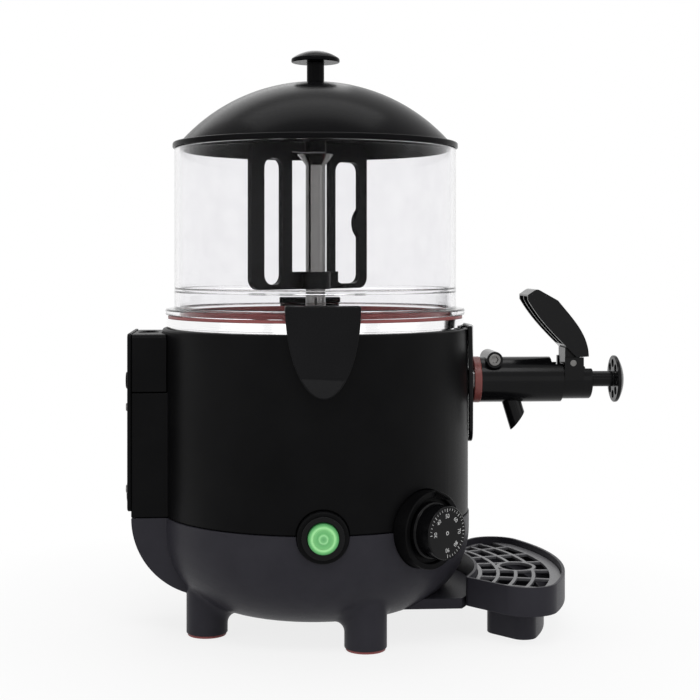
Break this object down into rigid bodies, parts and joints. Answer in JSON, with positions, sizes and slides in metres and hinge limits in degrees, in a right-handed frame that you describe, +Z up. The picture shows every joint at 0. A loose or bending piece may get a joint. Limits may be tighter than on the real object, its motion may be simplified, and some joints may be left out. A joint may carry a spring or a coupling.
{
  "type": "hot chocolate dispenser",
  "caption": "Countertop hot chocolate dispenser: black round base, clear bowl with a stirring paddle, domed lid, lever tap, thermostat dial, power button and a drip tray.",
  "frame": {"origin": "body axis where it meets the worktop, in the middle of the feet's circle", "axes": "+Z up, -Y towards the tap and drip tray, -X towards the side with the power button"},
  "size_m": [0.28, 0.4027, 0.4595],
  "materials": {
    "casing_black": "fine-grained satin",
    "gloss_black": "glossy",
    "paddle_black": "glossy",
    "grate_grey": "satin",
    "stainless": "brushed",
    "chrome_steel": "polished",
    "plated_steel": "zinc plated",
    "heater_alloy": "as cast",
    "silicone_red": "matte silicone",
    "clear_plastic": "clear",
    "lens_green": "translucent",
    "inner_plastic": "moulded",
    "spindle_steel": "turned"
  },
  "bodies": {
    "base": {"lower_casing": "casing_black", "upper_casing": "casing_black", "column_cap": "casing_black", "column_cover": "casing_black", "cover_screws": "chrome_steel", "cord_gland": "casing_black", "reset_cap": "casing_black", "foot_pads": "silicone_red", "water_bath": "stainless", "heater_plate": "heater_alloy", "heater_ring": "plated_steel", "thermal_cutout": "inner_plastic", "thermostat_bulb": "plated_steel", "gear_case": "heater_alloy", "motor_can": "heater_alloy", "motor_bracket": "plated_steel", "shaft_bush": "inner_plastic", "switch_collar": "casing_black", "switch_bezel": "gloss_black", "switch_body": "inner_plastic", "dial_collar": "casing_black", "thermostat_body": "inner_plastic", "terminal_block": "inner_plastic", "tray_arm": "casing_black"},
    "drive": {"drive_shaft": "chrome_steel", "drive_coupling": "plated_steel"},
    "bowl": {"pot": "stainless", "outlet_tube": "stainless", "centre_tube": "chrome_steel", "bowl_gasket": "silicone_red", "clear_bowl": "clear_plastic", "handle_left": "gloss_black", "handle_right": "gloss_black", "front_shield": "gloss_black", "tap_seal": "silicone_red", "tap_body": "gloss_black", "clamp_screw": "chrome_steel", "tap_end_cap": "gloss_black", "spring_seat": "inner_plastic", "valve_spring": "plated_steel", "lever_pin": "chrome_steel"},
    "lid": {"lid": "gloss_black", "lid_knob": "gloss_black", "lid_screw": "chrome_steel"},
    "paddle": {"paddle": "paddle_black"},
    "lever": {"tap_lever": "gloss_black"},
    "valve": {"valve_piston": "inner_plastic", "piston_rings": "silicone_red", "valve_rod": "chrome_steel", "pull_knob": "gloss_black"},
    "button": {"power_button": "lens_green"},
    "dial": {"dial_knob": "gloss_black", "dial_spindle": "spindle_steel"},
    "tray": {"drip_tray": "gloss_black"},
    "grate": {"tray_grate": "grate_grey"}
  },
  "joints": [
    {"name": "bowl_lift", "type": "slide", "parent": "base", "child": "bowl", "axis": [0, 0, 1], "range_m": [0, 0.215]},
    {"name": "lid_lift", "type": "slide", "parent": "bowl", "child": "lid", "axis": [0, 0, 1], "range_m": [0, 0.12]},
    {"name": "shaft_spin", "type": "hinge", "parent": "base", "child": "drive", "pos_m": [0, 0, 0.1], "axis": [0, 0, 1], "continuous": true},
    {"name": "paddle_spin", "type": "hinge", "parent": "bowl", "child": "paddle", "pos_m": [0, 0, 0.3], "axis": [0, 0, 1], "continuous": true},
    {"name": "lever_press", "type": "hinge", "parent": "bowl", "child": "lever", "pos_m": [0, -0.207, 0.208], "axis": [-1, 0, 0], "range_deg": [0, 30], "stiffness_Nm_per_rad": 0.6},
    {"name": "valve_slide", "type": "slide", "parent": "bowl", "child": "valve", "axis": [0, -1, 0], "range_m": [0, 0.0082], "deforming": ["valve_spring"]},
    {"name": "button_press", "type": "slide", "parent": "base", "child": "button", "axis": [1, 0, 0], "range_m": [0, 0.003], "stiffness_N_per_m": 800},
    {"name": "dial_turn", "type": "hinge", "parent": "base", "child": "dial", "pos_m": [-0.101, -0.0818, 0.091], "axis": [-0.7771, -0.6293, 0], "range_deg": [-135, 135]},
    {"name": "tray_pull", "type": "slide", "parent": "base", "child": "tray", "axis": [0, -1, 0], "range_m": [0, 0.09]},
    {"name": "grate_lift", "type": "slide", "parent": "tray", "child": "grate", "axis": [0, 0, 1], "range_m": [0, 0.05]}
  ],
  "couplings": [
    {"joint": "shaft_spin", "follows": "paddle_spin", "ratio": 1},
    {"joint": "valve_slide", "follows": "lever_press", "m_per_rad": 0.0155}
  ]
}
